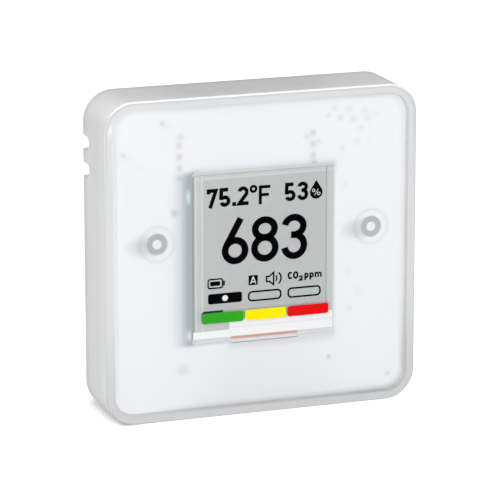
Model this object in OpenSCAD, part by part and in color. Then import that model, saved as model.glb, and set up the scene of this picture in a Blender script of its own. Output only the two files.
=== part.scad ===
// Room carbon dioxide monitor: square two-part case, e-paper panel, circuit board,
// infrared gas sensor, two AA cells, three slide switches and a lift-off back cover.
// Millimetres. X is right, +Y is towards the wall, Z is up, and the case stands on z = 0.

/* [Case] */
// Width and height of the square case
case_side = 70; // [69.5:0.1:70.5]
// Radius of the case's four upright corners
case_corner_r = 6.6; // [6.4:0.1:7]
// Depth of the case from its front face to the back cover's rear face
case_depth = 24; // [24:0.1:24.6]
// Depth of the full-width front housing
housing_depth = 15.8; // [15.6:0.1:16]
// Thickness of the housing's side walls
wall_t = 2.0; // [1.8:0.1:2.1]
// Thickness of the clear front window
window_t = 1.5; // [1.2:0.1:1.5]

/* [Display] */
// How far the display and the screw bosses sit right of the case's middle
display_x = 0.7; // [-0.8:0.1:0.8]
// Width of the e-paper glass
glass_w = 31.8; // [31:0.1:32]
// Height of the e-paper glass
glass_h = 37.3; // [36.5:0.1:37.4]
// Height of the glass's lower edge above the table
glass_z = 16; // [15.8:0.1:16.4]
// Width of one colour bar
band_w = 9.25; // [8:0.05:9.3]
// Height of one colour bar
band_h = 2.25; // [1.5:0.05:3]
// Gap between colour bars
band_gap = 0.4; // [0.3:0.05:1]

/* [Battery] */
// Diameter of an AA cell
cell_d = 14.5; // [14:0.1:14.5]
// Length of an AA cell over its terminals
cell_len = 50.5; // [49.5:0.1:50.5]

/* [Switches] */
// Travel of each slide switch
switch_travel = 2.0; // [1.5:0.1:2.2]

/* [Hidden] */
$fn = 64;
over = 0.5;                  // how far a cut runs past a face
mid_z = case_side / 2;

// Depth positions, front to back
front_y = -case_depth / 2;
rear_y = case_depth / 2;
housing_rear_y = front_y + housing_depth;
window_back_y = front_y + window_t;
skin_back_y = window_back_y + 0.7;
film_y = window_back_y + 0.1;
glass_y = film_y + 0.35;
foam_y = glass_y + 0.7;
tray_floor_y = foam_y + 0.5;
board_front_y = -6.4;
board_back_y = -5.4;

// Case corners
inner_side = case_side - 2 * wall_t;
inner_r = case_corner_r - wall_t;
front_edge_r = 0.35;
rear_edge_r = 1.0;

// Vent notches in the rear edge of both side walls
vent_z = [53.2, 59.1];
vent_r = 1.55;
vent_front_y = housing_rear_y - 5.0;

// Screw bosses
boss_dx = 24.1;
boss_z = 38.8;
boss_r = 2.4;
boss_bore_r = 1.0;
board_post_r = 0.9;
board_pin_r = 0.6;
board_posts = [[-29, 57.6], [-20.8, 63.6], [29.2, 6.4]];

// Display
glass_mid_z = glass_z + glass_h / 2;
film_inset = [0.4, 0.1, 0.5];  // bare glass left of, right of and above the film
ledge = [1.1, 2.7];          // driver cover's lower and upper edge above the glass's
tab_h = 2.3;                 // the driver cover's raised part, right of tab_x
tab_x = -7;
ribbon_x = [-6.5, 8.5];
ribbon_t = 0.2;
ribbon_low_z = glass_z - 0.3;
ribbon_y = -7.2;             // depth of the ribbon's upright stretch
tray_wall = 0.9;
tray_gap = 0.1;
tray_lip = 0.38;             // how far the lip in the front wall's opening reaches past the glass
band_z = 21.9;
band_t = 0.1;
band_pocket = 0.12;
band_corner_r = 0.45;

// Board
board_side = 62;
board_corner_r = 4;
screw_hole_r = 1.3;

// Gas sensor
sensor_x = -2.0;
sensor_w = 33.5;
sensor_z = [46.5, 66];
pin_pitch = 2.5;
pin_r = 0.35;
pin_hole_r = 0.45;
sensor_pin_places = [for (i = [0:4]) [sensor_x - 15, 52.3 + i * pin_pitch],
                     for (i = [1:4]) [sensor_x + 15, 52.3 + i * pin_pitch]];

// Battery tub
cell_r = cell_d / 2;
cell_y = 3.0;
cell_low_z = 13.4;
cell_pitch_z = 15;
cell_zs = [cell_low_z, cell_low_z + cell_pitch_z];
tub_half = 27.6;
tub_z = [cell_low_z - cell_r - 0.2, cell_low_z + cell_pitch_z + cell_r + 0.2];
tub_floor_y = board_back_y + 1.05;
cheek_z = 8.8;               // lower edge of the end walls behind the shelf
plate_t = 0.4;

// Chassis
chassis_side = inner_side - 0.8;
shelf_y = [housing_rear_y - 2.8, housing_rear_y - 1.6];
deck_y = [6.6, 7.6];
deck_half = 28.6;
deck_top_z = 63.7;
deck_corner_r = 3.2;
pocket_x = [17.5, tub_half];
pocket_z = [42.3, 60.5];
pocket_floor_y = [-2.0, -1.1];
well_r = 3.4;
well_floor_y = -3.8;

// Switches
switch_zs = [45.5, 51, 56.5];
switch_x = 22.6;
switch_body = [8.6, 3.2, 3.6];
switch_slot = [2 + switch_travel + 0.2, 1.7];
knob_size = [2.0, 1.5];

// Back cover
cover_side = 61;
cover_r = 5;
cover_wall = 1.6;
flange_side = inner_side - 0.4;
flange_y = [housing_rear_y - 1.4, housing_rear_y];
cover_plate_y = rear_y - cover_wall;
cover_edge_r = 1.2;
peg_offset = 29.5;
peg_r = 1.2;
peg_bore_r = 1.25;
peg_socket_y = shelf_y[0] - 2;
keyhole_x = 20;
keyhole_z = 50;
keyhole_r = 4.0;
keyhole_slot_w = 4.4;
keyhole_slot_h = 7;

// ---------------------------------------------------------------- shared shapes

// Rounded rectangle with true arcs at its corners, centred
module rounded_rect(w, h, r) {
    square([w - 2 * r, h], center = true);
    square([w, h - 2 * r], center = true);
    for (sx = [-1, 1], sy = [-1, 1])
        translate([sx * (w / 2 - r), sy * (h / 2 - r)]) circle(r);
}

// Flat rounded sheet that fills y from y0 to y1
module sheet(w, h, r, y0, y1, x = 0, z = mid_z) {
    translate([x, y1, z]) rotate([90, 0, 0]) linear_extrude(y1 - y0) rounded_rect(w, h, r);
}

// Block whose two upper corners are rounded
module arch(half, z0, z1, r, y0, y1) {
    sheet(2 * half, z1 - z0, r, y0, y1, 0, (z0 + z1) / 2);
    block([-half, y0, z0], [half, y1, z1 - r]);
}

// Round bar along Y
module pillar(x, z, r, y0, y1) {
    translate([x, y1, z]) rotate([90, 0, 0]) cylinder(h = y1 - y0, r = r);
}

// Box from its lowest corner to its highest
module block(low, high) {
    translate(low) cube(high - low);
}

// Sweeps a wall section round a rounded square. In the section, x is the distance
// from the corner's centre and y is the depth along the case.
module wall_ring(side, corner_r) {
    reach = side / 2 - corner_r;
    translate([0, 0, mid_z]) rotate([-90, 0, 0])
        for (turn = [0:90:270]) rotate(turn) translate([reach, reach, 0]) {
            rotate_extrude(angle = 90) children();
            rotate([90, 0, 0]) linear_extrude(2 * reach) children();
        }
}

// Wall section with a round on its outer edge at either end
module wall_section(r_in, r_out, y0, y1, round0, round1) {
    translate([r_in, y0 + round0]) square([r_out - r_in, y1 - y0 - round0 - round1]);
    if (round0 > 0) {
        translate([r_in, y0]) square([r_out - r_in - round0, round0 * 2]);
        translate([r_out - round0, y0 + round0]) circle(round0, $fn = 32);
    }
    if (round1 > 0) {
        translate([r_in, y1 - round1 * 2]) square([r_out - r_in - round1, round1 * 2]);
        translate([r_out - round1, y1 - round1]) circle(round1, $fn = 32);
    }
}

module at_bosses() {
    for (side = [-1, 1]) translate([display_x + side * boss_dx, 0, boss_z]) children();
}

// Row of equal slots cut through y0..y1, with round ends
module slot_row(count, pitch, slot_w, slot_h, x, z, y0, y1) {
    for (i = [0:count - 1])
        sheet(slot_w, slot_h, slot_w / 2 - 0.01, y0, y1, x + (i - (count - 1) / 2) * pitch, z);
}

// ---------------------------------------------------------------- front housing

module vent_notches(x0, x1) {
    for (z = vent_z) {
        block([x0, vent_front_y + vent_r, z - vent_r], [x1, housing_rear_y + over, z + vent_r]);
        translate([x0, vent_front_y + vent_r, z]) rotate([0, 90, 0])
            cylinder(h = x1 - x0, r = vent_r);
    }
}

module front_housing() color([0.93, 0.95, 0.96]) {
    difference() {
        union() {
            wall_ring(case_side, case_corner_r)
                wall_section(inner_r, case_corner_r, front_y, housing_rear_y, front_edge_r, rear_edge_r);
            sheet(inner_side + 1, inner_side + 1, inner_r + 0.5, window_back_y, skin_back_y);
            at_bosses() {
                pillar(0, 0, boss_r, window_back_y + 0.2, board_front_y);
                pillar(0, 0, 4, window_back_y + 0.2, skin_back_y + 0.4);
            }
            for (post = board_posts) {
                pillar(post[0], post[1], board_post_r, window_back_y + 0.2, board_front_y);
                pillar(post[0], post[1], board_pin_r, window_back_y + 0.2, board_back_y - 0.2);
            }
        }
        sheet(glass_w + 0.8, glass_h + 0.8, 0.6, window_back_y - over, skin_back_y + over,
              display_x, glass_mid_z);
        at_bosses() pillar(0, 0, boss_bore_r, skin_back_y - 0.3, board_front_y + over);
        vent_notches(-case_side / 2 - over, -inner_side / 2 + over);
        vent_notches(inner_side / 2 - over, case_side / 2 + over);
    }
}

module display_window() color([0.92, 0.96, 0.98, 0.4]) {
    difference() {
        sheet(inner_side - 0.1, inner_side - 0.1, inner_r - 0.05, front_y, window_back_y - 0.02);
        for (place = [-1:1])
            sheet(band_w + 0.04, band_h + 0.04, band_corner_r + 0.02, front_y - over,
                  front_y + band_pocket, display_x + place * (band_w + band_gap), band_z);
    }
}

module colour_band(place) {
    sheet(band_w, band_h, band_corner_r, front_y, front_y + band_t,
          display_x + place * (band_w + band_gap), band_z);
}

module green_band() color([0.19, 0.67, 0.15]) colour_band(-1);
module yellow_band() color([1.0, 0.93, 0.0]) colour_band(0);
module red_band() color([0.93, 0.07, 0.07]) colour_band(1);

// ---------------------------------------------------------------- display

module display_film() color([0.80, 0.82, 0.81]) {
    left = display_x - glass_w / 2 + film_inset[0];
    right = display_x + glass_w / 2 - film_inset[1];
    low = glass_z + ledge[1] + 0.05;
    difference() {
        block([left, film_y, low], [right, glass_y - 0.02, glass_z + glass_h - film_inset[2]]);
        block([tab_x - 0.05, film_y - over, low - over],
              [right + over, glass_y + over, glass_z + ledge[1] + tab_h + 0.05]);
    }
}

// White strip over the panel's driver ledge, with a raised tab on its right
module driver_cover() color([0.93, 0.94, 0.94]) {
    left = display_x - glass_w / 2 + 0.1;
    right = display_x + glass_w / 2 - 0.1;
    block([left, film_y, glass_z + ledge[0]], [right, glass_y, glass_z + ledge[1]]);
    block([tab_x, film_y, glass_z + ledge[1] - 0.5], [right, glass_y, glass_z + ledge[1] + tab_h]);
}

module display_glass() color([0.72, 0.75, 0.77])
    sheet(glass_w, glass_h, 0.3, glass_y, foam_y, display_x, glass_mid_z);

module display_foam() color([0.35, 0.36, 0.38])
    sheet(glass_w - 2, glass_h - 6, 1, foam_y, tray_floor_y, display_x, glass_mid_z + 2);

// Moulded tray with a rim round the glass, corner clips, and room behind for the ribbon
module display_frame() color([0.94, 0.95, 0.96]) {
    tray_w = glass_w + 2 * (tray_gap + tray_wall);
    tray_h = glass_h + 2 * (tray_gap + tray_wall);
    left = display_x - tray_w / 2;
    low = glass_mid_z - tray_h / 2;
    difference() {
        union() {
            sheet(tray_w, tray_h, 1.2, film_y + 1.0, board_front_y, display_x, glass_mid_z);
            sheet(glass_w + 2 * tray_lip, glass_h + 2 * tray_lip, 0.6, window_back_y + 0.02, foam_y,
                  display_x, glass_mid_z);
        }
        sheet(glass_w + 2 * tray_gap, glass_h + 2 * tray_gap, 0.4, window_back_y - over, foam_y,
              display_x, glass_mid_z);
        sheet(glass_w - 1.8, glass_h - 5.8, 1.1, film_y, tray_floor_y, display_x, glass_mid_z + 2);
        sheet(glass_w - 8, glass_h - 12, 2, film_y, board_front_y + over, display_x, glass_mid_z + 2);
        block([ribbon_x[0] - 1.2, foam_y - 0.2, low - over],
              [ribbon_x[1] + 1.2, board_front_y + over, glass_z + 13]);
        block([ribbon_x[0] - 0.1, window_back_y - over, low - over],
              [ribbon_x[1] + 0.1, foam_y, glass_z]);
    }
    for (clip = [[left - 0.7, 47.5], [left - 0.7, low + 1], [left + tray_w, 47.5],
                 [left + tray_w, low + 1]])
        block([clip[0], film_y + 1.4, clip[1]], [clip[0] + 0.7, board_front_y, clip[1] + 3]);
}

// Ribbon bonded to the glass's lower ledge: it runs back under the glass and rises behind it
module display_flex() color([0.85, 0.50, 0.22]) {
    bend_r = 0.8;
    bend_y = ribbon_y - bend_r;
    bend_z = ribbon_low_z + bend_r;
    front = glass_y - ribbon_t;
    block([ribbon_x[0], front, ribbon_low_z], [ribbon_x[1], glass_y, glass_z + ledge[0] - 0.05]);
    block([ribbon_x[0], front, ribbon_low_z], [ribbon_x[1], bend_y, ribbon_low_z + ribbon_t]);
    difference() {
        translate([ribbon_x[0], bend_y, bend_z]) rotate([0, 90, 0])
            cylinder(h = ribbon_x[1] - ribbon_x[0], r = bend_r);
        translate([ribbon_x[0] - over, bend_y, bend_z]) rotate([0, 90, 0])
            cylinder(h = ribbon_x[1] - ribbon_x[0] + 2 * over, r = bend_r - ribbon_t);
        block([ribbon_x[0] - over, bend_y - 2, bend_z - 2], [ribbon_x[1] + over, bend_y, bend_z + 2]);
        block([ribbon_x[0] - over, bend_y - 2, bend_z], [ribbon_x[1] + over, bend_y + 2, bend_z + 2]);
    }
    block([ribbon_x[0], ribbon_y - ribbon_t, bend_z], [ribbon_x[1], ribbon_y, glass_z + 9.4]);
}

module flex_connector() color([0.92, 0.91, 0.88]) {
    difference() {
        block([ribbon_x[0] - 1, board_front_y - 1.5, glass_z + 8],
              [ribbon_x[1] + 1, board_front_y, glass_z + 12]);
        block([ribbon_x[0] - 0.1, ribbon_y - ribbon_t - 0.1, glass_z + 8 - over],
              [ribbon_x[1] + 0.1, ribbon_y + 0.1, glass_z + 9.6]);
    }
}

// ---------------------------------------------------------------- electronics

module main_board() color([0.95, 0.96, 0.95]) {
    difference() {
        sheet(board_side, board_side, board_corner_r, board_front_y, board_back_y);
        at_bosses() pillar(0, 0, screw_hole_r, board_front_y - over, board_back_y + over);
        for (post = board_posts)
            pillar(post[0], post[1], board_pin_r + 0.1, board_front_y - over, board_back_y + over);
        for (pin = sensor_pin_places)
            pillar(pin[0], pin[1], pin_hole_r, board_front_y - over, board_back_y + over);
        // Vent slots that separate the climate sensor from the board's warmth
        sheet(1.0, 7, 0.45, board_front_y - over, board_back_y + over, -26.2, 51);
        sheet(4.4, 1.0, 0.45, board_front_y - over, board_back_y + over, -28.4, 47.9);
    }
}

module radio_board() color([0.90, 0.92, 0.90]) {
    block([18.6, board_front_y - 0.8, 48], [30.2, board_front_y, 65]);
}

module radio_shield() color([0.74, 0.75, 0.76])
    sheet(10.4, 10.4, 0.6, board_front_y - 2.4, board_front_y - 0.8, 24.4, 54);

module chip(x, z, w, h, t, front) {
    y0 = front ? board_front_y - t : board_back_y;
    block([x - w / 2, y0, z - h / 2], [x + w / 2, y0 + t, z + h / 2]);
}

module small_chips() color([0.22, 0.22, 0.24]) {
    chip(12, 40.4, 7, 5, 0.9, false);
    chip(4.2, 40.4, 4, 4, 1.1, false);
    chip(-15.5, 9, 2.2, 1.6, 0.8, true);
    chip(17.3, 9.5, 1.2, 0.8, 0.7, true);
    chip(-22.5, 48.2, 1.6, 0.8, 0.6, true);
    chip(-22.5, 46, 1.6, 0.8, 0.6, true);
    chip(20.5, 27, 1.2, 2, 0.6, true);
}

module climate_sensor() color([0.28, 0.28, 0.30])
    block([-29.6, board_back_y, 50], [-27.2, board_back_y + 0.9, 52.4]);

module buzzer() color([0.16, 0.16, 0.17]) {
    difference() {
        union() {
            block([-14.6, board_back_y, 37.2], [-6.2, board_back_y + 2.4, 45.6]);
            pillar(-10.4, 41.4, 3.9, board_back_y, board_back_y + 3);
        }
        pillar(-10.4, 41.4, 0.8, board_back_y + 1.6, board_back_y + 4);
    }
}

module co2_board() color([0.12, 0.35, 0.20]) {
    difference() {
        block([sensor_x - sensor_w / 2, board_back_y, sensor_z[0]],
              [sensor_x + sensor_w / 2, board_back_y + 1, sensor_z[1] - 0.2]);
        for (pin = sensor_pin_places)
            pillar(pin[0], pin[1], pin_hole_r, board_back_y - over, board_back_y + 1 + over);
    }
}

// Optical cell: a folded light path under a moulded cover, with gas holes on its top face
module co2_cell() color([0.88, 0.88, 0.86]) {
    difference() {
        union() {
            sheet(28.6, 14.4, 1.2, board_back_y + 1, 3.6, sensor_x, 55);
            sheet(19, 9.6, 1.2, 3.2, 4.6, sensor_x, 55);
        }
        for (i = [-3:3]) pillar(sensor_x + i * 2.4, 55, 0.7, 0.6, 4.6 + over);
    }
}

module co2_filter() color([0.97, 0.97, 0.95])
    sheet(18, 8.6, 1, 4.6, 5.0, sensor_x, 55);

module sensor_pins() color([0.72, 0.58, 0.32])
    for (pin = sensor_pin_places) pillar(pin[0], pin[1], pin_r, board_front_y - 0.9, -3.2);

// ---------------------------------------------------------------- switches

module switch_bodies() color([0.20, 0.20, 0.22]) {
    for (z = switch_zs) difference() {
        block([switch_x - switch_body[0] / 2, board_back_y, z - switch_body[2] / 2],
              [switch_x + switch_body[0] / 2, board_back_y + switch_body[1], z + switch_body[2] / 2]);
        block([switch_x - switch_slot[0] / 2, board_back_y + 1.7, z - switch_slot[1] / 2],
              [switch_x + switch_slot[0] / 2, board_back_y + 5, z + switch_slot[1] / 2]);
    }
}

// Slide knob with a ridged top; side is -1 when it rests at the left stop, 1 at the right
module switch_knob(z, side) {
    x = switch_x + side * switch_travel / 2;
    difference() {
        block([x - knob_size[0] / 2, board_back_y + 1.8, z - knob_size[1] / 2],
              [x + knob_size[0] / 2, 0.4, z + knob_size[1] / 2]);
        for (i = [-1:1]) block([x + i * 0.6 - 0.12, 0.1, z - 2], [x + i * 0.6 + 0.12, 1, z + 2]);
    }
}

module unit_switch_knob() color([0.92, 0.92, 0.90]) switch_knob(switch_zs[2], -1);
module calibration_switch_knob() color([0.92, 0.92, 0.90]) switch_knob(switch_zs[1], -1);
module buzzer_switch_knob() color([0.92, 0.92, 0.90]) switch_knob(switch_zs[0], 1);

// ---------------------------------------------------------------- chassis

module chassis() color([0.90, 0.91, 0.92]) {
    difference() {
        union() {
            difference() {
                union() {
                    sheet(chassis_side, chassis_side, inner_r - 0.4, shelf_y[0], shelf_y[1]);
                    arch(deck_half, tub_z[1], deck_top_z, deck_corner_r, shelf_y[0], deck_y[1]);
                }
                arch(tub_half, tub_z[1] + 1, deck_top_z - 1, deck_corner_r - 1,
                     shelf_y[0] - over, deck_y[0]);
            }
            block([-tub_half - 1, board_back_y, tub_z[0] - 1],
                  [tub_half + 1, shelf_y[1], tub_z[1] + 1]);
            for (x = [-tub_half - 1, tub_half])
                block([x, shelf_y[0], cheek_z], [x + 1, deck_y[1], tub_z[1] + 1]);
            block([pocket_x[0] - 1, pocket_floor_y[0], pocket_z[0] - 1],
                  [pocket_x[1] + 1, deck_y[1], pocket_z[1] + 1]);
            at_bosses() pillar(0, 0, well_r, board_back_y, deck_y[1]);
            for (sx = [-1, 1], sz = [-1, 1])
                pillar(sx * peg_offset, mid_z + sz * peg_offset, 2.4, peg_socket_y - 0.8, shelf_y[1]);
        }
        block([-tub_half, tub_floor_y, tub_z[0]], [tub_half, deck_y[1] + over, tub_z[1]]);
        block([pocket_x[0], pocket_floor_y[1], pocket_z[0]],
              [pocket_x[1], deck_y[1] + over, pocket_z[1]]);
        for (z = switch_zs)
            block([switch_x - 2.4, pocket_floor_y[0] - over, z - 1.1],
                  [switch_x + 2.4, pocket_floor_y[1] + over, z + 1.1]);
        at_bosses() {
            pillar(0, 0, 2.3, well_floor_y, deck_y[1] + over);
            pillar(0, 0, screw_hole_r, board_back_y - over, well_floor_y + over);
        }
        for (sx = [-1, 1], sz = [-1, 1])
            pillar(sx * peg_offset, mid_z + sz * peg_offset, peg_bore_r, peg_socket_y, shelf_y[1] + over);
        slot_row(8, 3.4, 1.6, 12, sensor_x, 55, deck_y[0] - over, deck_y[1] + over);
        vent_notches(-inner_side / 2 - over, -inner_side / 2 + 2.6);
        vent_notches(inner_side / 2 - 2.6, inner_side / 2 + over);
    }
}

// Pan-head screws, driven from the rear into the housing's bosses
module chassis_screws() color([0.70, 0.70, 0.72]) {
    at_bosses() difference() {
        union() {
            pillar(0, 0, 0.95, skin_back_y + 0.2, well_floor_y);
            pillar(0, 0, 1.9, well_floor_y, well_floor_y + 1.4);
        }
        block([-1.1, well_floor_y + 0.7, -0.2], [1.1, well_floor_y + 2, 0.2]);
        block([-0.2, well_floor_y + 0.7, -1.1], [0.2, well_floor_y + 2, 1.1]);
    }
}

// ---------------------------------------------------------------- cells and contacts

// One AA cell along X. end is 1 when its positive end points right; shift moves it
// towards the flat contact at that end.
module at_cell(z, end) {
    translate([end * (tub_half - plate_t - cell_len), cell_y, z])
        rotate([0, 0, end > 0 ? 0 : 180]) rotate([0, 90, 0]) children();
}

module cell_can() {
    cylinder(h = cell_len - 1.2, r = cell_r - 0.15);
    cylinder(h = cell_len, r = 2.7);
}

module cell_sleeve() {
    difference() {
        translate([0, 0, 0.3]) cylinder(h = cell_len - 1.2, r = cell_r);
        translate([0, 0, -over]) cylinder(h = cell_len - 1.2 + over, r = cell_r - 0.15);
        translate([0, 0, cell_len - 2]) cylinder(h = 3, r = 4.6);
    }
}

module battery_lower_can() color([0.75, 0.76, 0.78]) at_cell(cell_zs[0], 1) cell_can();
module battery_lower_sleeve() color([0.16, 0.18, 0.22]) at_cell(cell_zs[0], 1) cell_sleeve();
module battery_upper_can() color([0.75, 0.76, 0.78]) at_cell(cell_zs[1], -1) cell_can();
module battery_upper_sleeve() color([0.16, 0.18, 0.22]) at_cell(cell_zs[1], -1) cell_sleeve();

// Two single plates on the left and one that joins both cells on the right
module contact_plates() color([0.80, 0.80, 0.80]) {
    half_w = 5;
    for (z = cell_zs)
        block([-tub_half, cell_y - half_w, z - half_w], [-tub_half + plate_t, cell_y + half_w, z + half_w]);
    block([tub_half - plate_t, cell_y - half_w, cell_zs[0] - half_w],
          [tub_half, cell_y + half_w, cell_zs[1] + half_w]);
}

// Conical coil swept as a tube: ring k of the tube sits at turn k / steps
module coil(turns, length, r_base, r_tip, wire_r) {
    steps = 16;
    sides = 8;
    rings = turns * steps;
    points = [for (k = [0:rings], s = [0:sides - 1])
        let (a = 360 * k / steps, t = k / rings, b = 360 * s / sides,
             r = r_base + (r_tip - r_base) * t + wire_r * cos(b))
        [r * cos(a), r * sin(a), wire_r + (length - 2 * wire_r) * t + wire_r * sin(b)]];
    quads = [for (k = [0:rings - 1], s = [0:sides - 1])
        let (s2 = (s + 1) % sides)
        [k * sides + s, (k + 1) * sides + s, (k + 1) * sides + s2, k * sides + s2]];
    first = [for (s = [0:sides - 1]) s];
    last = [for (s = [sides - 1:-1:0]) rings * sides + s];
    polyhedron(points, concat(quads, [first, last]), convexity = 8);
}

module contact_springs() color([0.82, 0.80, 0.72]) {
    gap = 2 * tub_half - 2 * plate_t - cell_len;
    translate([-tub_half + plate_t, cell_y, cell_zs[0]]) rotate([0, 90, 0])
        coil(3, gap, 4.2, 2.2, 0.4);
    translate([tub_half - plate_t, cell_y, cell_zs[1]]) rotate([0, -90, 0])
        coil(3, gap, 4.2, 2.2, 0.4);
}

// ---------------------------------------------------------------- back cover

module back_cover() color([0.93, 0.95, 0.96]) {
    difference() {
        union() {
            wall_ring(cover_side, cover_r)
                wall_section(cover_r - cover_wall, cover_r, flange_y[0], rear_y, 0, cover_edge_r);
            sheet(cover_side - 2, cover_side - 2, cover_r - 1, cover_plate_y, rear_y);
            difference() {
                sheet(flange_side, flange_side, inner_r - 0.2, flange_y[0], flange_y[1]);
                sheet(cover_side - 2 * cover_wall, cover_side - 2 * cover_wall,
                      cover_r - cover_wall, flange_y[0] - over, flange_y[1] + over);
            }
            for (sx = [-1, 1], sz = [-1, 1])
                pillar(sx * peg_offset, mid_z + sz * peg_offset, peg_r, peg_socket_y + 0.6, flange_y[0] + 0.4);
        }
        for (sx = [-1, 1]) {
            pillar(sx * keyhole_x, keyhole_z, keyhole_r, cover_plate_y - over, rear_y + over);
            sheet(keyhole_slot_w, keyhole_slot_h + keyhole_slot_w / 2,
                  keyhole_slot_w / 2 - 0.01, cover_plate_y - over, rear_y + over,
                  sx * keyhole_x, keyhole_z + (keyhole_slot_h + keyhole_slot_w / 2) / 2);
        }
        vent_notches(-inner_side / 2 - over, -cover_side / 2 - 0.2);
        vent_notches(cover_side / 2 + 0.2, inner_side / 2 + over);
        // Fingernail groove in the lower side, for lifting the cover off
        block([-7, 7.4, mid_z - cover_side / 2 - over], [7, 9.2, mid_z - cover_side / 2 + 0.9]);
    }
}

front_housing();
display_window();
green_band();
yellow_band();
red_band();
display_film();
driver_cover();
display_glass();
display_foam();
display_frame();
display_flex();
flex_connector();
main_board();
radio_board();
radio_shield();
small_chips();
climate_sensor();
buzzer();
co2_board();
co2_cell();
co2_filter();
sensor_pins();
switch_bodies();
unit_switch_knob();
calibration_switch_knob();
buzzer_switch_knob();
chassis();
chassis_screws();
contact_plates();
contact_springs();
battery_lower_can();
battery_lower_sleeve();
battery_upper_can();
battery_upper_sleeve();
back_cover();
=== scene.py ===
"""Looks for the carbon dioxide monitor: materials, display marks, floor, light and camera."""

import math

import bmesh
import bpy
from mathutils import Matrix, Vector


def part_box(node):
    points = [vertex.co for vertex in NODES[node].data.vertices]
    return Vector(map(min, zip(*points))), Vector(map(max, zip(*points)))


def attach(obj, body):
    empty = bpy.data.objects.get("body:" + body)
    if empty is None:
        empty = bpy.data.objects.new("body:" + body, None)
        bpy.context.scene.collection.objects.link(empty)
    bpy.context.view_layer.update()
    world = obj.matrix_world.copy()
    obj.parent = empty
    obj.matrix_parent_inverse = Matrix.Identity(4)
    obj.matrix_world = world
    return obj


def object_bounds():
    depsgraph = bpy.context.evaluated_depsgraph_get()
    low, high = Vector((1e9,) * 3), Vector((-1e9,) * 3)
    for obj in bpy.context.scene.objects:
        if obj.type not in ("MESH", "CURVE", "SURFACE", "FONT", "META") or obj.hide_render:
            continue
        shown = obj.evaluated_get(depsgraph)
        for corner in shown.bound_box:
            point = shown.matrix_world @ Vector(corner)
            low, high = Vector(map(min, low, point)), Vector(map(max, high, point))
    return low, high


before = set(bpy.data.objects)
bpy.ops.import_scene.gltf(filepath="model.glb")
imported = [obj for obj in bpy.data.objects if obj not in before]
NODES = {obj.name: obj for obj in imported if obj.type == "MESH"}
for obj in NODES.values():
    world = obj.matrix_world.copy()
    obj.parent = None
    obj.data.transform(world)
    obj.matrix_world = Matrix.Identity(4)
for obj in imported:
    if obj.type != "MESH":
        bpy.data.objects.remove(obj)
cad_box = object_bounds()
MM = 0.001
# In millimetres: half the case's width, its corner radius, the place of its front face along Y
# and the width of the rim round the recess that holds the window
CASE_HALF, CASE_CORNER, FRONT, RIM = 35.0, 6.6, -12.0, 2.0


# ------------------------------------------------------------------ node helpers

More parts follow.
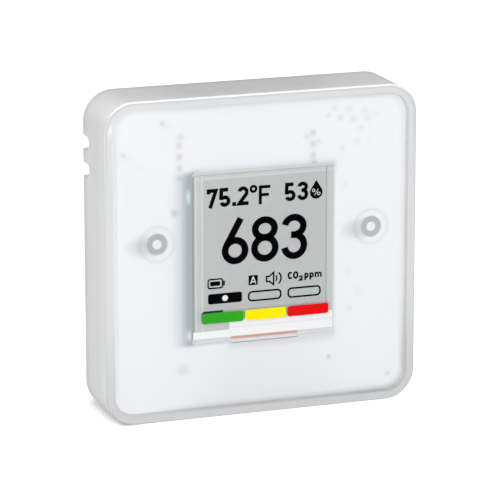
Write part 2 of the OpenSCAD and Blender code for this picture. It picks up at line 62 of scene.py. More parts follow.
class Graph:
    """A material being built: short calls that add and link shader nodes."""

    def __init__(self, name):
        self.material = bpy.data.materials.new(name)
        self.material.use_nodes = True
        self.tree = self.material.node_tree
        self.tree.nodes.clear()
        self.output = self.tree.nodes.new("ShaderNodeOutputMaterial")

    def node(self, kind, **settings):
        made = self.tree.nodes.new("ShaderNode" + kind)
        for key, value in settings.items():
            setattr(made, key, value)
        return made

    def put(self, value, socket):
        """Links a socket, or sets a plain value."""
        if hasattr(value, "links"):
            self.tree.links.new(value, socket)
        elif isinstance(value, tuple) and socket.type == "RGBA" and len(value) == 3:
            socket.default_value = (*value, 1)
        else:
            socket.default_value = value

    def surface(self, shader):
        self.put(shader, self.output.inputs["Surface"])
        return self.material

    def math(self, operation, a, b=0.0, c=0.0, clamp=False):
        made = self.node("Math", operation=operation, use_clamp=clamp)
        for value, socket in zip((a, b, c), made.inputs):
            self.put(value, socket)
        return made.outputs[0]

    def place(self):
        """The point's own place in metres: CAD nodes keep it in their vertices."""
        split = self.node("SeparateXYZ")
        self.put(self.node("TexCoord").outputs["Object"], split.inputs[0])
        return split.outputs

    def noise(self, scale, detail=3.0, rough=0.5, stretch=None):
        """Grain over the point's own place, stretched or not: a value round 0.5."""
        made = self.node("TexNoise")
        coordinates = self.node("TexCoord").outputs["Object"]
        if stretch:
            mapping = self.node("Mapping")
            self.put(coordinates, mapping.inputs["Vector"])
            mapping.inputs["Scale"].default_value = stretch
            coordinates = mapping.outputs[0]
        for value, key in ((coordinates, "Vector"), (scale, "Scale"), (detail, "Detail"),
                           (rough, "Roughness")):
            self.put(value, made.inputs[key])
        return made.outputs["Fac"]

    def map_range(self, value, low, high, to_low=0.0, to_high=1.0):
        made = self.node("MapRange")
        for given, key in ((value, 0), (low, 1), (high, 2), (to_low, 3), (to_high, 4)):
            self.put(given, made.inputs[key])
        return made.outputs[0]

    def mix(self, share, first, second):
        """Colour mix."""
        made = self.node("Mix", data_type="RGBA")
        self.put(share, made.inputs["Factor"])
        self.put(first, made.inputs[6])
        self.put(second, made.inputs[7])
        return made.outputs[2]

    def mix_value(self, share, first, second):
        return self.math("ADD", self.both(first, self.without(share)), self.both(second, share))

    def mix_shader(self, share, first, second):
        made = self.node("MixShader")
        self.put(share, made.inputs[0])
        self.put(first, made.inputs[1])
        self.put(second, made.inputs[2])
        return made.outputs[0]

    def bump(self, height, distance):
        made = self.node("Bump")
        made.inputs["Strength"].default_value = 1.0
        made.inputs["Distance"].default_value = distance
        self.put(height, made.inputs["Height"])
        return made.outputs[0]

    def principled(self, color, rough, normal, gloss=0.5, metal=0.0):
        made = self.node("BsdfPrincipled")
        for value, key in ((color, "Base Color"), (rough, "Roughness"), (normal, "Normal"),
                           (gloss, "Specular IOR Level"), (metal, "Metallic")):
            self.put(value, made.inputs[key])
        return made.outputs[0]

    def grained(self, color, grain, rough, depth, drift=0.05, gloss=0.5, metal=0.0):
        """A surface whose relief and roughness follow the grain."""
        roughness = self.map_range(grain, 0.3, 0.7, rough - drift, rough + drift)
        return self.principled(color, roughness, self.bump(grain, depth), gloss, metal)

    def emission(self, color, strength=1.0):
        made = self.node("Emission")
        self.put(color, made.inputs["Color"])
        self.put(strength, made.inputs["Strength"])
        return made.outputs[0]

    def within(self, value, low, high, soft=0.05):
        """1 where value (metres) lies between low and high (millimetres), with a soft edge."""
        rise = self.ramp(value, low - soft, low + soft)
        fall = self.ramp(value, high + soft, high - soft)
        return self.math("MULTIPLY", rise, fall)

    def ramp(self, value, zero, one):
        """0 at one place and 1 at the other (millimetres), smooth between them."""
        made = self.node("MapRange", interpolation_type="SMOOTHSTEP")
        self.put(value, made.inputs[0])
        made.inputs[1].default_value = zero * MM
        made.inputs[2].default_value = one * MM
        return made.outputs[0]

    def both(self, *masks):
        """Product of masks; a plain number among them weakens it."""
        product = masks[0]
        for mask in masks[1:]:
            product = self.math("MULTIPLY", product, mask)
        return product

    def either(self, *masks):
        """The greatest of the masks."""
        found = masks[0]
        for mask in masks[1:]:
            found = self.math("MAXIMUM", found, mask)
        return found

    def without(self, mask):
        return self.math("SUBTRACT", 1.0, mask)

    def shade_of(self, *layers):
        """Product of 1 - mask * amount over all layers."""
        return self.both(1.0, *[self.without(self.both(mask, amount)) for mask, amount in layers])

    def scaled(self, color, factor):
        made = self.node("VectorMath", operation="SCALE")
        self.put(color, made.inputs[0])
        self.put(factor, made.inputs["Scale"])
        return made.outputs[0]

    def length(self, a, b):
        square = self.math("ADD", self.math("MULTIPLY", a, a), self.math("MULTIPLY", b, b))
        return self.math("SQRT", square)

    def outline(self, x, z):
        """Distance to the case's outline as seen from the front, negative inside it."""
        straight = (CASE_HALF - CASE_CORNER) * MM
        over_x = self.math("SUBTRACT", self.math("ABSOLUTE", x), straight)
        height = self.math("SUBTRACT", z, CASE_HALF * MM)
        over_z = self.math("SUBTRACT", self.math("ABSOLUTE", height), straight)
        outer = self.length(self.math("MAXIMUM", over_x, 0.0), self.math("MAXIMUM", over_z, 0.0))
        inner = self.math("MINIMUM", self.math("MAXIMUM", over_x, over_z), 0.0)
        return self.math("SUBTRACT", self.math("ADD", outer, inner), CASE_CORNER * MM)

    def spread(self, x, z, cx, cz, wide=1.0):
        """Distance of (x, z) from a centre given in millimetres; wide squeezes x."""
        return self.length(self.math("MULTIPLY", self.math("SUBTRACT", x, cx * MM), 1.0 / wide),
                           self.math("SUBTRACT", z, cz * MM))


# ------------------------------------------------------------------ milky case

SIDE_TINT = (0.785, 0.79, 0.795)        # side walls and back cover
SKIN_TINT = (0.985, 0.987, 1.0)         # veil behind the window
SIDE_BAND_TINT = (0.92, 1.0, 1.06)      # veil beside the display, whose bluish side shows through
PIN_TINT = (0.77, 0.755, 0.72)          # veil over the sensor's gold pins
BACKLIT = 0.16                          # share of the moulding's light that comes from behind it
# Places in millimetres. Heights of the vent notches, and the bosses as they show on the veil (x, z)
VENTS_Z = (53.2, 59.1)
BOSS_SEEN = ((-23.05, 38.75), (25.25, 38.75))
# What shows faintly through the veil: rows of gold pins (x, lowest z, highest z) and their pitch,
# and soft spots (x, z, radius, strength)
PIN_ROWS = ((-18.1, 52.2, 61.6), (11.9, 52.8, 61.6))
PIN_PITCH = 2.47
FAINT_SPOTS = ((-21.8, 64.7, 0.7, 0.16), (-30.4, 58.5, 0.8, 0.13), (-17.7, 61.4, 1.3, 0.08),
               (10.4, 59.6, 0.9, 0.12), (13.2, 58.3, 0.8, 0.10), (12.2, 53.5, 0.9, 0.26),
               (15.4, 63.8, 0.7, 0.10), (18.0, 63.0, 1.0, 0.08), (21.0, 62.7, 1.0, 0.08),
               (24.2, 62.6, 1.0, 0.08), (21.9, 57.7, 1.1, 0.06), (20.4, 20.9, 0.8, 0.08),
               (15.7, 10.5, 0.7, 0.20), (29.4, 5.4, 0.8, 0.12), (-17.5, 10.6, 1.7, 0.10),
               (-19.2, 45.2, 1.1, 0.18), (16.6, 65.2, 1.0, 0.06), (20.0, 64.8, 1.2, 0.06),
               (23.6, 64.2, 1.1, 0.06), (26.0, 63.4, 0.9, 0.05), (22.8, 60.6, 1.0, 0.06),
               (18.6, 56.6, 1.0, 0.06), (24.6, 57.9, 0.9, 0.04), (19.4, 48.6, 1.0, 0.05),
               (-26.5, 55.6, 1.4, 0.03), (20.2, 29.2, 1.2, 0.05), (22.4, 24.6, 1.3, 0.04))


def milky_shader(g, tint, through=None):
    """Frosted translucent moulding; through is the share of light that passes unscattered."""
    body = g.grained(tint, g.noise(9000, 2), 0.38, 0.000012, gloss=0.4)
    glow = g.node("BsdfTranslucent")
    g.put(tint, glow.inputs["Color"])
    body = g.mix_shader(BACKLIT, body, glow.outputs[0])
    if through is None:
        return body
    return g.mix_shader(through, body, g.node("BsdfTransparent").outputs[0])


def cover_material():
    g = Graph("milky_cover")
    return g.surface(milky_shader(g, SIDE_TINT))


class ShellPlaces:
    """Masks of the front housing's material: its sides, its front face and its veil."""

    def __init__(self, g):
        self.x, self.y, self.z = g.place()
        self.edge = g.outline(self.x, self.z)
        self.right, self.left = g.ramp(self.x, 12, 30), g.ramp(self.x, -12, -30)
        self.top, self.bottom = g.ramp(self.z, 45, 64), g.ramp(self.z, 25, 6)
        self.front = g.ramp(self.y, FRONT + 0.4, FRONT + 0.1)
        self.inside = g.both(g.within(self.y, FRONT + 1.3, FRONT + 2.7),
                             g.ramp(self.edge, 0.1 - RIM, 0.02 - RIM))


def veil_color_and_shade(g, at):
    """Veil behind the window, with painted shade where something stands close behind it or shades
    it.
    """
    x, z, edge = at.x, at.z, at.edge
    # Painted shade along the recess's edges and round the lower middle, and the soft spots that
    # show through
    layers = [(g.both(g.ramp(edge, -3.6, -1.7), at.right), 0.14),
              (g.both(g.ramp(edge, -3.3, -1.8), at.bottom), 0.20),
              (g.both(g.ramp(edge, -4.0, -2.0), at.top), 0.10),
              (g.both(g.ramp(edge, -2.6, -1.9), at.left), 0.08),
              (g.ramp(g.spread(x, z, 3, 8, 1.8), 13, 4), 0.03)]
    for cx, cz, radius, amount in FAINT_SPOTS:
        layers.append((g.ramp(g.spread(x, z, cx, cz), radius * 1.3, 0), amount * 1.2))
    # Each boss: painted shade for its wall and in a faint ring round it, and a painted shadow to
    # its left
    for cx, cz in BOSS_SEEN:
        away = g.spread(x, z, cx, cz)
        boss_shadow = g.spread(x, z, cx - 2.6, cz - 0.3, 1.7)
        layers += [(g.both(g.ramp(away, 0.85, 1.2), g.ramp(away, 2.5, 2.1)), 0.42),
                   (g.both(g.ramp(away, 3.2, 3.8), g.ramp(away, 4.4, 3.8)), 0.075),
                   (g.both(g.ramp(boss_shadow, 3.2, 0.6), g.ramp(away, 2.1, 2.5)), 0.22)]
    # Painted shade of the display's side and of its shadow, with the tray's pale clips in it
    height = g.both(g.ramp(z, 15.2, 16.4), g.ramp(z, 54.4, 52.7), g.ramp(x, -13, -14))
    clips = g.either(g.both(g.within(x, -16.5, -15.6, 0.6), g.within(z, 47.1, 49.7, 0.9)),
                     g.both(g.within(x, -16.7, -15.4, 0.8), g.within(z, 17.2, 19.0, 1.0)))
    bare = g.without(g.both(clips, 0.8))
    layers += [(g.both(g.ramp(x, -20.8, -16.2), height, bare), 0.22),
               (g.both(g.ramp(x, -18.2, -16.0), height, bare), 0.29),
               # Painted shade along the display's upper and lower edges
               (g.both(g.ramp(z, 55.2, 53.2), g.within(x, -15.6, 17.2, 0.8),
                       g.ramp(z, 50, 52)), 0.16),
               (g.both(g.ramp(z, 13.4, 15.8), g.within(x, -7, 17, 1.5), g.ramp(z, 18, 17)), 0.16)]
    rows = []
    for cx, low, high in PIN_ROWS:
        start = g.math("SUBTRACT", z, (low - 0.55) * MM)
        beat = g.math("SINE", g.math("MULTIPLY", start, math.tau / (PIN_PITCH * MM)))
        rows.append(g.both(g.within(x, cx - 0.5, cx + 0.5, 0.8), g.within(z, low, high, 0.6),
                           g.map_range(beat, -1.0, 0.9, 0.15, 1.0)))
    tint = g.mix(g.both(g.ramp(x, -20.0, -16.0), height), SKIN_TINT, SIDE_BAND_TINT)
    return g.scaled(g.mix(g.either(*rows), tint, PIN_TINT), g.shade_of(*layers))


def wall_color_and_painted_light(g, at):
    """Rim and sides of the front housing, with painted light and shade."""
    x, y, z, edge, front = at.x, at.y, at.z, at.edge, at.front
    # Rim: a little darker than the sides, with painted shade at its bottom and along the recess
    recess_wall_shade = g.both(g.within(y, FRONT + 0.05, FRONT + 1.55), g.within(edge, -2.2, -1.8))
    rim = g.shade_of((front, 0.17), (g.both(front, at.bottom), 0.11),
                     (g.both(front, g.within(edge, -2.3, -1.85, 0.1), at.right), 0.16),
                     (g.both(front, g.within(edge, -2.3, -1.62, 0.12), at.bottom), 0.09),
                     # Painted shade in a band below the upper outer edge, and on the left rounded
                     # edge to dim its highlight
                     (g.both(front, g.within(edge, -0.75, -0.38, 0.1), at.top), 0.12),
                     (g.both(g.ramp(y, -11.3, -11.7), g.within(edge, -0.35, 0.1, 0.1), at.left),
                      0.10),
                     (recess_wall_shade, g.map_range(y, FRONT * MM, (FRONT + 1.5) * MM, 0.22, 0.10)))
    # Sides: painted light and shade, paler towards the front and at the ends of the upper side,
    # darker at the rear edge
    upper = g.ramp(z, 63.5, 69.5)
    depth = g.shade_of((g.ramp(y, -1.0, 3.6), 0.16), (g.ramp(y, -6.5, -10.8), -0.035),
                       # Painted shade on the left side's upper part
                       (g.both(g.ramp(x, -34.0, -34.8), g.ramp(z, 46, 58)), 0.05),
                       (g.both(upper, g.ramp(x, -12, -27)), -0.15),
                       (g.both(upper, g.ramp(x, 10, 24)), -0.12))
    cloud = g.map_range(g.noise(60, 3), 0.35, 0.65)
    tint = g.mix(cloud, SIDE_TINT, tuple(c * 0.98 for c in SIDE_TINT))
    tint = g.scaled(tint, g.both(rim, g.mix_value(front, depth, 1.0)))
    # Painted highlights: the upper outer edge, and the rim's left side with a streak at its upper
    # end
    pale = g.both(g.ramp(y, -11.3, -11.65), g.within(edge, -0.33, 0.1, 0.05),
                  g.ramp(z, 66.2, 69.5))
    blend = g.both(front, g.ramp(edge, -1.5, -2.1), at.left, 0.15)
    streak = g.both(front, g.within(edge, -1.7, -1.0, 0.3), g.within(z, 63.4, 65.0, 1.1),
                    at.left, 0.7)
    return g.mix(g.both(g.either(pale, blend, streak), 0.9), tint, (1.0, 1.0, 1.0))


def shell_painted_glow(g, at):
    """Painted light: glow that stands in for light reaching the veil through the rim, and for the
    vents' lit milky edges: (share, colour).
    """
    near_left = g.both(g.ramp(at.edge, -3.3, -2.5), at.left)
    near_top = g.both(g.ramp(at.edge, -2.8, -2.35), at.top, 0.55)
    corner = g.ramp(g.spread(at.x, at.z, -32.2, 63.6), 2.6, 0.6)
    vents = g.both(g.either(*[g.within(at.z, place - 1.7, place + 1.7) for place in VENTS_Z]),
                   g.ramp(at.y, -1.6, -1.2), g.ramp(at.edge, -0.02, -0.3))
    share = g.either(g.both(at.inside, g.either(near_left, near_top, corner), 0.95),
                     g.both(vents, 0.8))
    return share, g.mix(at.inside, (0.62, 0.625, 0.63), (0.87, 0.88, 0.90))


def shell_material():
    """Front housing: milky walls, and a veil of the same plastic behind the clear window."""
    g = Graph("milky_shell")
    at = ShellPlaces(g)
    clearness = g.map_range(at.x, -5 * MM, 28 * MM, 0.14, 0.05)
    body = milky_shader(g, g.mix(at.inside, wall_color_and_painted_light(g, at), veil_color_and_shade(g, at)),
                        g.both(at.inside, clearness))
    share, color = shell_painted_glow(g, at)
    return g.surface(g.mix_shader(share, body, g.emission(color)))


# ------------------------------------------------------------------ other materials

def clear_sheet(name):
    """Clear window: a weak mirror at its surface that lets the rest straight through."""
    g = Graph(name)
    fresnel = g.node("Fresnel")
    fresnel.inputs["IOR"].default_value = 1.45
    wave = g.bump(g.noise(120, 2), 0.00001)
    gloss = g.node("BsdfGlossy")
    gloss.inputs["Roughness"].default_value = 0.05
    g.put(wave, gloss.inputs["Normal"])
    g.put(wave, fresnel.inputs["Normal"])
    through = g.node("BsdfTransparent")
    through.inputs["Color"].default_value = (0.988, 0.99, 0.992, 1)
    share = g.math("MULTIPLY", g.math("SUBTRACT", fresnel.outputs[0], 0.05), 0.8, clamp=True)
    return g.surface(g.mix_shader(share, through.outputs[0], gloss.outputs[0]))


def moulded(name, color, rough=0.5, grain_scale=5000, depth=0.00001, spread=0.06, gloss=0.5):
    """Plain moulded or printed surface with fine grain and slight colour drift."""
    g = Graph(name)
    darker = tuple(max(0.0, c * (1 - spread)) for c in color)
    tone = g.mix(g.map_range(g.noise(150, 3), 0.3, 0.7), color, darker)
    return g.surface(g.grained(tone, g.noise(grain_scale, 3), rough, depth, drift=0.06,
                               gloss=gloss))


def brushed(name, color):
    """Metal with fine lines along X."""
    g = Graph(name)
    lines = g.noise(900, 4, 0.6, stretch=(1, 60, 60))
    tone = g.mix(g.map_range(lines, 0.3, 0.7), color, tuple(c * 0.86 for c in color))
    return g.surface(g.grained(tone, lines, 0.33, 0.000006, drift=0.09, metal=1.0))


def assign(node, material):
    data = NODES[node].data
    data.materials.clear()
    data.materials.append(material)


# ------------------------------------------------------------------ strokes for the display

def arc(cx, cz, rx, rz, start, end, steps=20):
    """Points along an elliptical arc; angles in degrees, anticlockwise from the right."""
    return [(cx + rx * math.cos(math.radians(start + (end - start) * i / steps)),
             cz + rz * math.sin(math.radians(start + (end - start) * i / steps)))
            for i in range(steps + 1)]


def offset_lines(points, width, closed):
    """Points on both sides of a path, mitred at its corners."""
    count = len(points)
    left, right = [], []
    for i, point in enumerate(points):
        before = points[i - 1] if i or closed else None
        after = points[(i + 1) % count] if i < count - 1 or closed else None
        here = Vector(point)
        into = (here - Vector(before)).normalized() if before is not None else None
        out = (Vector(after) - here).normalized() if after is not None else None
        into, out = into or out, out or into
        across = Vector((-into.y - out.y, into.x + out.x)).normalized()
        reach = width / 2 / max(0.35, across.dot(Vector((-into.y, into.x))))
        left.append(here + across * reach)
        right.append(here - across * reach)
    return left, right


class Marks:
    """Flat raised marks in one thin layer, built as closed slabs in the X-Z plane."""

    def __init__(self, front, back):
        self.mesh = bmesh.new()
        self.front, self.back = front, back

    def _pair(self, point):
        return [self.mesh.verts.new((point[0], y, point[1])) for y in (self.front, self.back)]

    def ribbon(self, points, width, closed=False):
        left, right = offset_lines(points, width, closed)
        rows = [(self._pair(a), self._pair(b)) for a, b in zip(left, right)]
        pairs = list(zip(rows, rows[1:] + rows[:1])) if closed else list(zip(rows, rows[1:]))
        for (a, b), (c, d) in pairs:
            for face in ((a[0], b[0], d[0], c[0]), (a[1], c[1], d[1], b[1]),
                         (a[0], c[0], c[1], a[1]), (b[0], b[1], d[1], d[0])):
                self.mesh.faces.new(face)
        if not closed:
            for (a, b), flip in ((rows[0], False), (rows[-1], True)):
                cap = [a[0], a[1], b[1], b[0]]
                self.mesh.faces.new(cap[::-1] if flip else cap)

    def shape(self, outline):
        """A filled convex or star-shaped outline."""
        rows = [self._pair(p) for p in outline]
        self.mesh.faces.new([r[0] for r in rows])
        self.mesh.faces.new([r[1] for r in reversed(rows)])
        for a, b in zip(rows, rows[1:] + rows[:1]):
            self.mesh.faces.new((a[0], a[1], b[1], b[0]))

    def done(self, name, material):
        bmesh.ops.recalc_face_normals(self.mesh, faces=self.mesh.faces)
        data = bpy.data.meshes.new(name)
        self.mesh.to_mesh(data)
        self.mesh.free()
        piece = bpy.data.objects.new(name, data)
        bpy.context.scene.collection.objects.link(piece)
        data.materials.append(material)
        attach(piece, "housing")


def rounded_outline(cx, cz, w, h, r, steps=6):
    """Corner arcs of a rounded rectangle, anticlockwise."""
    points = []
    for sx, sz, start in ((1, 1, 0), (-1, 1, 90), (-1, -1, 180), (1, -1, 270)):
        points += arc(cx + sx * (w / 2 - r), cz + sz * (h / 2 - r), r, r, start, start + 90, steps)
    return points


def glyph_strokes(char, w, h, s):
    """Centre lines of one character whose outer box is w by h with stroke s: (points, closed)."""
    a, b = s / 2, w - s / 2          # left and right centre lines
    low, top = s / 2, h - s / 2      # lower and upper centre lines
    cx = w / 2

    def oval(start, end, steps):
        return arc(cx, h / 2, b - cx, top - h / 2, start, end, steps)

    if char == "6":
        bowl = h * 0.30
        ring = arc(cx, bowl, b - cx, bowl - low, 0, 360, 40)[:-1]
        lean = [(w * 0.71, h), (cx - (b - cx) * 0.88, bowl + (bowl - low) * 0.50)]
        return [(ring, True), (lean, False)]
    if char == "8":
        waist = h * 0.535
        up = (top - waist) / 2
        down = (waist - low) / 2
        return [(arc(cx, waist + up, (b - cx) * 0.93, up, 0, 360, 40)[:-1], True),
                (arc(cx, waist - down, b - cx, down, 0, 360, 40)[:-1], True)]
    if char == "3":
        waist = h * 0.54
        up, down = (top - waist) / 2, (waist - low) / 2
        upper = arc(cx, waist + up, (b - cx) * 0.94, up, 170, -90, 30)
        lower = arc(cx, waist - down, b - cx, down, 90, -170, 30)
        return [(upper + [(cx - w * 0.12, waist)], False), (lower, False)]
    if char == "5":
        bowl = h * 0.30
        return [([(b - s * 0.1, top), (a + s * 0.1, top), (a, h * 0.47)]
                 + arc(cx, bowl, b - cx, bowl - low, 125, -160, 30), False)]
    if char == "7":
        return [([(a, h * 0.74), (a, top), (b, top), (w * 0.30, 0)], False)]
    if char == "2":
        r = b - cx
        return [(arc(cx, top - r, r, r, 165, -35, 24) + [(a, low), (w, low)], False)]
    if char == "F":
        return [([(b + a, top), (a, top), (a, 0)], False), ([(a, h * 0.5), (b, h * 0.5)], False)]
    if char == ".":
        return [([(0, s / 2), (s, s / 2)], False)]
    if char == "o":
        return [(oval(0, 360, 24)[:-1], True)]
    if char == "C":
        return [(oval(42, 318, 24), False)]
    if char == "p":
        return [([(a, -h * 0.38), (a, h)], False), (oval(0, 360, 20)[:-1], True)]
    if char == "m":
        r = (b - a) / 4
        return [([(a, 0), (a, h)], False),
                (arc(a + r, top - r, r, r, 180, 0, 10) + [(a + 2 * r, 0)], False),
                (arc(a + 3 * r, top - r, r, r, 180, 0, 10) + [(b, 0)], False)]
    if char == "A":
        return [([(a, 0), (cx - s * 0.2, top), (cx + s * 0.2, top), (b, 0)], False),
                ([(w * 0.2, h * 0.26), (w * 0.8, h * 0.26)], False)]
    raise ValueError(char)


# ------------------------------------------------------------------ display

glass_low, glass_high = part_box("display_glass")
film_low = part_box("display_film")[0]
PANEL_LEFT, PANEL_TOP = glass_low.x + 0.5 * MM, glass_high.z
PANEL_STRETCH = 1.009
# Marks stand just in front of the film, and pale ones just in front of the dark ones
FILM_GAP = 0.001 * MM
INK_FRONT, LIGHT_FRONT = film_low.y - 0.02 * MM, film_low.y - 0.04 * MM
INK, LIGHT = (INK_FRONT, film_low.y - FILM_GAP), (LIGHT_FRONT, INK_FRONT - FILM_GAP)

e_ink = moulded("e_ink", (0.002, 0.002, 0.003), 0.8, 9000, 0.000002, 0.3, gloss=0.02)
pale_ink = moulded("pale_ink", (0.80, 0.81, 0.80), 0.75, 9000, 0.000002, 0.05, gloss=0.1)


def on_panel(u, v):
    """A point on the display, in millimetres right of and below the glass's upper left corner."""
    return PANEL_LEFT + u * PANEL_STRETCH * MM, PANEL_TOP - v * MM


def write(marks, *glyphs):
    """Characters, each with its upper left corner (u, v), width, height and stroke."""
    for char, u, v, w, h, s in glyphs:
        x0, z0 = on_panel(u, v + h)
        for points, closed in glyph_strokes(char, w, h, s):
            marks.ribbon([(x0 + px * MM, z0 + pz * MM) for px, pz in points], s * MM, closed)


def panel_ribbon(marks, points, width, closed=False):
    marks.ribbon([on_panel(u, v) for u, v in points], width * MM, closed)


def panel_shape(marks, points):
    marks.shape([on_panel(u, v) for u, v in points])


def temperature_row():
    marks = Marks(*INK)
    write(marks, ("7", 2.7, 3.55, 2.45, 4.15, 0.82), ("5", 5.45, 3.5, 2.5, 4.1, 0.82),
          (".", 8.35, 3.5, 0.85, 4.1, 0.85), ("2", 9.5, 3.5, 2.5, 4.1, 0.82),
          ("o", 12.2, 3.35, 1.75, 1.75, 0.56), ("F", 14.25, 3.6, 2.6, 4.1, 0.68))
    marks.done("display_temperature", e_ink)


def humidity_row():
    marks = Marks(*INK)
    write(marks, ("5", 20.05, 3.5, 2.45, 4.05, 0.8), ("3", 22.85, 3.5, 2.5, 4.05, 0.8))
    tip, bowl = (27.15, 3.35), arc(0, 0, 1.42, 1.42, 35, -215, 26)
    panel_shape(marks, [tip] + [(tip[0] + p, 6.05 - q) for p, q in bowl])
    marks.done("display_humidity", e_ink)


def reading_row():
    marks = Marks(*INK)
    write(marks, ("6", 6.0, 10.4, 6.0, 9.95, 1.5), ("8", 12.55, 10.4, 6.2, 9.95, 1.5),
          ("3", 19.25, 10.4, 5.95, 9.95, 1.5))
    marks.done("display_reading", e_ink)


def icon_row():
    marks = Marks(*INK)
    # Battery: outline, charge and terminal
    panel_ribbon(marks, rounded_outline(4.55, 24.25, 3.2, 1.95, 0.4), 0.32, closed=True)
    panel_shape(marks, rounded_outline(4.5, 24.25, 2.2, 0.95, 0.12))
    panel_ribbon(marks, [(6.5, 23.7), (6.5, 24.8)], 0.34)
    # Boxed letter for automatic calibration
    panel_shape(marks, rounded_outline(13.0, 24.2, 2.05, 2.15, 0.12))
    # Loudspeaker with two sound waves
    cone = [(16.0, 23.7), (16.65, 23.7), (17.6, 22.9), (17.6, 25.6), (16.65, 24.8), (16.0, 24.8)]
    panel_ribbon(marks, cone, 0.34, closed=True)
    panel_ribbon(marks, arc(17.65, 24.25, 0.65, 0.8, -50, 50, 8), 0.32)
    panel_ribbon(marks, arc(17.75, 24.25, 1.5, 1.6, -50, 50, 10), 0.34)
    # Unit label
    write(marks, ("C", 20.75, 23.1, 1.2, 1.65, 0.4), ("o", 21.95, 23.1, 1.25, 1.65, 0.4),
          ("2", 23.25, 24.1, 0.95, 1.2, 0.34), ("p", 24.55, 23.65, 1.0, 1.15, 0.37),
          ("p", 25.7, 23.65, 1.0, 1.15, 0.37), ("m", 26.85, 23.65, 1.65, 1.15, 0.36))
    marks.done("display_icons", e_ink)


def pill_row():
    """Three level pills, the first one filled."""
    marks = Marks(*INK)
    panel_shape(marks, rounded_outline(6.7, 27.6, 7.6, 2.25, 0.5))
    for u in (15.6, 24.5):
        panel_ribbon(marks, rounded_outline(u, 27.75, 7.2, 1.95, 0.75), 0.38, closed=True)
    marks.done("display_pills", e_ink)


def light_marks():
    """What shows pale on black: the pill's dot, the boxed letter and the sign in the drop."""
    marks = Marks(*LIGHT)
    panel_shape(marks, arc(6.7, 27.6, 0.65, 0.65, 0, 360, 24)[:-1])
    write(marks, ("A", 12.3, 23.42, 1.4, 1.55, 0.24))
    panel_ribbon(marks, [(26.75, 6.7), (27.6, 5.3)], 0.12)
    for u, v in ((26.55, 5.6), (27.7, 6.35)):
        panel_ribbon(marks, arc(u, v, 0.3, 0.3, 0, 360, 14)[:-1], 0.13, closed=True)
    marks.done("display_light_marks", pale_ink)


def painted_band_shadow():
    """Painted shadow of the printed green band on the e-paper: a dark sheet peeping out above and
    left of it.
    """
    marks = Marks(*INK)
    outline = [(-13.2, 20.5), (-8.4, 20.5), (-8.4, 23.1), (-12.75, 23.1), (-13.2, 22.75)]
    marks.shape([(px * MM, pz * MM) for px, pz in outline])
    marks.done("display_painted_band_shadow", moulded("band_shadow_dark", (0.02, 0.06, 0.07), 0.7, gloss=0.05))


for draw in (temperature_row, humidity_row, painted_band_shadow, reading_row, icon_row, pill_row,
             light_marks):
    draw()


# ------------------------------------------------------------------ materials with drawn areas

def panel_material():
    """E-paper sheet: grey active square with a fine speckle inside a paler border."""
    g = Graph("e_paper")
    x, _, z = g.place()
    left, right, low, high = -12.75, 14.75, 23.6, 51.75
    active = g.both(g.within(x, left, right), g.within(z, low, high))
    lines = g.either(g.within(x, left - 0.45, left - 0.05), g.within(x, -14.6, -14.2),
                     g.within(z, high + 0.05, high + 0.45))
    edge = g.within(x, right + 0.08, right + 0.42)
    speck = g.noise(6000, 2, 0.7)
    share = g.map_range(speck, 0.35, 0.65)
    field = g.mix(share, (0.481, 0.492, 0.485), (0.525, 0.535, 0.527))
    border = g.mix(share, (0.533, 0.547, 0.528), (0.561, 0.575, 0.555))
    border = g.mix(g.both(lines, 0.6), border, (0.64, 0.65, 0.635))
    tone = g.mix(g.both(edge, 0.75), g.mix(active, border, field), (0.34, 0.345, 0.33))
    return g.surface(g.principled(tone, 0.6, g.bump(speck, 0.000002), gloss=0.15))


def two_tone(name, base, other, mask, rough=0.5):
    """A part with a differently coloured area; mask(g, x, y, z) is 1 on it."""
    g = Graph(name)
    grain = g.noise(5000, 3)
    tone = g.mix(mask(g, *g.place()), base, other)
    tone = g.mix(g.map_range(grain, 0.3, 0.7, 0.0, 0.08), tone, (0, 0, 0))
    return g.surface(g.grained(tone, grain, rough, 0.000005, gloss=0.3))


# Painted shade: a darker line at the step where the strip meets the tab
def driver_step_shade(g, x, y, z):
    return g.both(g.within(z, 18.9, 19.25, 0.12), g.within(x, -7, 17, 0.2))


def glass_ends(g, x, y, z):
    return g.either(g.ramp(z, 52.4, 52.9), g.ramp(z, 18.0, 17.2))


def flex_root(g, x, y, z):
    return g.both(g.ramp(y, -9.8, -10.0), g.ramp(z, 16.55, 16.35))


def sleeve_material(name, cell, end):
    """Printed sleeve of one cell: dark, with a pale band and a plus at the positive end."""
    low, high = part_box(f"battery_{cell}_sleeve")
    g = Graph(name)
    x, _, z = g.place()
    along = g.math("MULTIPLY", x, end)
    rise = g.math("SUBTRACT", z, (low.z + high.z) / 2)
    tone = g.mix(g.ramp(along, 10.9, 11.0), (0.035, 0.055, 0.10), (0.62, 0.64, 0.66))
    tone = g.mix(g.within(along, 9.4, 10.2), tone, (0.10, 0.32, 0.55))
    bar = g.within(rise, -0.4, 0.4)
    plus = g.either(g.both(g.within(along, 17.2, 20.8), bar),
                    g.both(g.within(along, 18.6, 19.4), g.within(rise, -1.8, 1.8)))
    tone = g.mix(plus, tone, (0.02, 0.02, 0.03))
    minus = g.both(g.within(along, -20.8, -17.2), bar)
    tone = g.mix(minus, tone, (0.80, 0.80, 0.80))
    return g.surface(g.grained(tone, g.noise(700, 4), 0.26, 0.00001, drift=0.06))


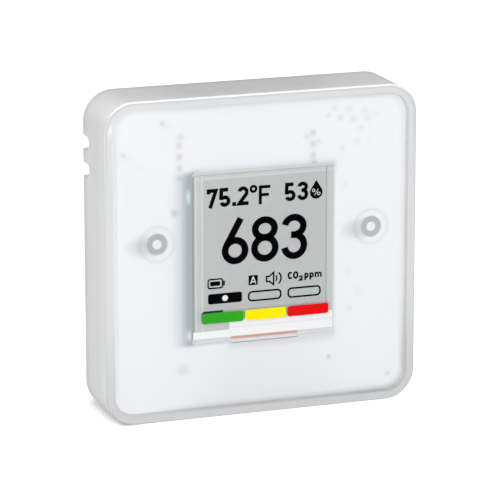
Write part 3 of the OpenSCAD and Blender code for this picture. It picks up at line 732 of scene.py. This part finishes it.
def tray_material():
    """White tray whose lip has painted shade, darker at the left, and painted light to its right
    and below.
    """
    g = Graph("tray_white")
    x, y, z = g.place()
    # Painted shade on the lip in front, paler at the right; the tray behind it is white
    tone = g.mix(g.ramp(x, -14.6, -15.0), (0.66, 0.67, 0.68), (0.40, 0.45, 0.49))
    tone = g.mix(g.ramp(x, 16.5, 16.8), tone, (0.76, 0.77, 0.78))
    tone = g.mix(g.ramp(y, -9.2, -8.6), tone, (0.86, 0.88, 0.90))
    body = g.grained(tone, g.noise(5000, 3), 0.5, 0.000005, gloss=0.3)
    # Painted light: glow that stands in for light the milky wall passes on to the lip, to its right
    # and below
    lip = g.both(g.either(g.ramp(x, 16.5, 16.6), g.ramp(z, 16.0, 15.9)), g.ramp(y, -9.4, -9.6))
    return g.surface(g.mix_shader(g.both(lip, 0.75), body, g.emission((0.74, 0.75, 0.76))))


# ------------------------------------------------------------------ assign CAD materials

assign("front_housing", shell_material())
assign("back_cover", cover_material())
assign("display_window", clear_sheet("clear_window"))
assign("green_band", moulded("green_print", (0.026, 0.315, 0.014), 0.5, 7000, 0.000002, gloss=0.05))
assign("yellow_band", moulded("yellow_print", (0.86, 0.66, 0.0), 0.5, 7000, 0.000002, 0.02,
                              gloss=0.05))
assign("red_band", moulded("red_print", (0.64, 0.004, 0.005), 0.5, 7000, 0.000002, gloss=0.05))
assign("display_film", panel_material())
assign("driver_cover", two_tone("driver_white", (0.90, 0.90, 0.91), (0.82, 0.83, 0.83),
                                driver_step_shade))
assign("display_glass", two_tone("panel_glass", (0.40, 0.44, 0.47), (0.66, 0.67, 0.68),
                                 glass_ends, rough=0.3))
assign("display_foam", moulded("foam", (0.08, 0.08, 0.09), 0.9, 3000, 0.00006, 0.2))
assign("display_frame", tray_material())
assign("display_flex", two_tone("flex_amber", (0.60, 0.36, 0.28), (0.72, 0.72, 0.73), flex_root))
assign("flex_connector", moulded("connector_ivory", (0.86, 0.84, 0.80), 0.5))
assign("main_board", moulded("board_white", (0.93, 0.94, 0.95), 0.45, spread=0.03))
assign("radio_board", moulded("board_pale", (0.84, 0.86, 0.84), 0.4))
assign("radio_shield", brushed("shield_tin", (0.80, 0.80, 0.80)))
assign("small_chips", moulded("chip_grey", (0.16, 0.16, 0.18), 0.55))
assign("climate_sensor", moulded("sensor_black", (0.04, 0.04, 0.045), 0.5))
assign("buzzer", moulded("buzzer_black", (0.02, 0.02, 0.02), 0.45))
assign("co2_board", moulded("board_green", (0.015, 0.10, 0.04), 0.4))
assign("co2_cell", moulded("cell_white", (0.75, 0.75, 0.72), 0.45))
assign("co2_filter", moulded("membrane", (0.92, 0.92, 0.89), 0.95, 2500, 0.00008))
assign("sensor_pins", brushed("pin_gold", (0.75, 0.52, 0.22)))
assign("switch_bodies", moulded("switch_black", (0.03, 0.03, 0.035), 0.45))
for knob in ("unit_switch_knob", "calibration_switch_knob", "buzzer_switch_knob"):
    assign(knob, moulded("knob_" + knob, (0.85, 0.85, 0.82), 0.45))
assign("chassis", moulded("chassis_white", (0.80, 0.82, 0.84), 0.5))
assign("chassis_screws", brushed("screw_zinc", (0.62, 0.62, 0.64)))
assign("contact_plates", brushed("contact_nickel", (0.70, 0.70, 0.69)))
assign("contact_springs", brushed("spring_nickel", (0.72, 0.70, 0.64)))
for cell, end in (("lower", 1), ("upper", -1)):
    assign(f"battery_{cell}_can", brushed(f"can_{cell}", (0.66, 0.66, 0.67)))
    assign(f"battery_{cell}_sleeve", sleeve_material(f"sleeve_{cell}", cell, end))


# ------------------------------------------------------------------ floor, light and camera

def stage_floor():
    mesh = bmesh.new()
    half = 4.0
    corners = [mesh.verts.new((x, y, 0)) for x, y in
               ((-half, -half), (half, -half), (half, half), (-half, half))]
    mesh.faces.new(corners)
    data = bpy.data.meshes.new("floor")
    mesh.to_mesh(data)
    mesh.free()
    floor = bpy.data.objects.new("floor", data)
    bpy.context.scene.collection.objects.link(floor)
    g = Graph("floor_white")
    diffuse = g.node("BsdfDiffuse")
    diffuse.inputs["Color"].default_value = (0.9, 0.9, 0.9, 1)
    x, y, _ = g.place()
    # The sweep glows white for camera rays, except for a painted narrow contact shadow on the left
    beside = g.both(g.ramp(x, -35.8, -32.0), g.ramp(x, -22, -30), g.ramp(y, 16, 4),
                    g.ramp(y, -13, -6))
    # A darker painted shadow in it: a wedge right under the corner
    wedge = g.both(g.ramp(x, -33.5, -30.5), g.ramp(x, -26, -28.5), g.ramp(y, 12, 6),
                   g.ramp(y, -13, -11))
    lit = g.both(g.map_range(beside, 0, 1, 0.62, 0.22), g.without(wedge))
    seen = g.node("LightPath").outputs["Is Camera Ray"]
    glow = g.emission((1.0, 1.0, 1.0), g.math("MULTIPLY", seen, lit, clamp=True))
    add = g.node("AddShader")
    g.put(diffuse.outputs[0], add.inputs[0])
    g.put(glow, add.inputs[1])
    data.materials.append(g.surface(add.outputs[0]))


def area_light(name, place, size, power):
    """A round soft light that looks at the middle of the case."""
    data = bpy.data.lights.new(name, "AREA")
    data.shape = "DISK"
    data.size = size
    data.energy = power
    light = bpy.data.objects.new(name, data)
    light.location = place
    aim = Vector((0, 0, CASE_HALF * MM)) - Vector(place)
    light.rotation_euler = aim.to_track_quat("-Z", "Y").to_euler()
    bpy.context.scene.collection.objects.link(light)


def studio():
    """White surroundings that light the part less than they show, and two soft lights."""
    world = bpy.data.worlds.new("studio")
    bpy.context.scene.world = world
    world.use_nodes = True
    tree = world.node_tree
    lighting, seen = tree.nodes["Background"], tree.nodes.new("ShaderNodeBackground")
    for background, strength in ((lighting, 0.55), (seen, 1.0)):
        background.inputs["Color"].default_value = (1, 1, 1, 1)
        background.inputs["Strength"].default_value = strength
    mix = tree.nodes.new("ShaderNodeMixShader")
    path = tree.nodes.new("ShaderNodeLightPath")
    tree.links.new(path.outputs["Is Camera Ray"], mix.inputs[0])
    tree.links.new(lighting.outputs[0], mix.inputs[1])
    tree.links.new(seen.outputs[0], mix.inputs[2])
    tree.links.new(mix.outputs[0], tree.nodes["World Output"].inputs["Surface"])
    area_light("front_softbox", (-0.65, -1.15, 0.30), size=0.9, power=17)
    area_light("back_softbox", (0.7, 0.5, 0.9), size=0.5, power=1.5)


def camera():
    """The camera stands where the object is seen from the left and a little above."""
    azimuth, elevation = math.radians(-19.46), math.radians(14.34)
    distance = 0.7032
    shift_right, shift_up = 1.30 * MM, -1.86 * MM
    back = Vector((math.sin(azimuth) * math.cos(elevation),
                   -math.cos(azimuth) * math.cos(elevation), math.sin(elevation)))
    right = Vector((math.cos(azimuth), math.sin(azimuth), 0))
    up = back.cross(right)
    middle = Vector((0, 0, (cad_box[0].z + cad_box[1].z) / 2))
    data = bpy.data.cameras.new("camera")
    data.lens = 234.5
    data.sensor_width = 36
    made = bpy.data.objects.new("camera", data)
    made.location = middle + right * shift_right + up * shift_up + back * distance
    made.rotation_mode = "QUATERNION"
    made.rotation_quaternion = (-back).to_track_quat("-Z", "Y")
    data.clip_start, data.clip_end = 0.01, 20
    bpy.context.scene.collection.objects.link(made)
    bpy.context.scene.camera = made


stage_floor()
studio()
camera()
bpy.context.scene.view_settings.view_transform = "Standard"
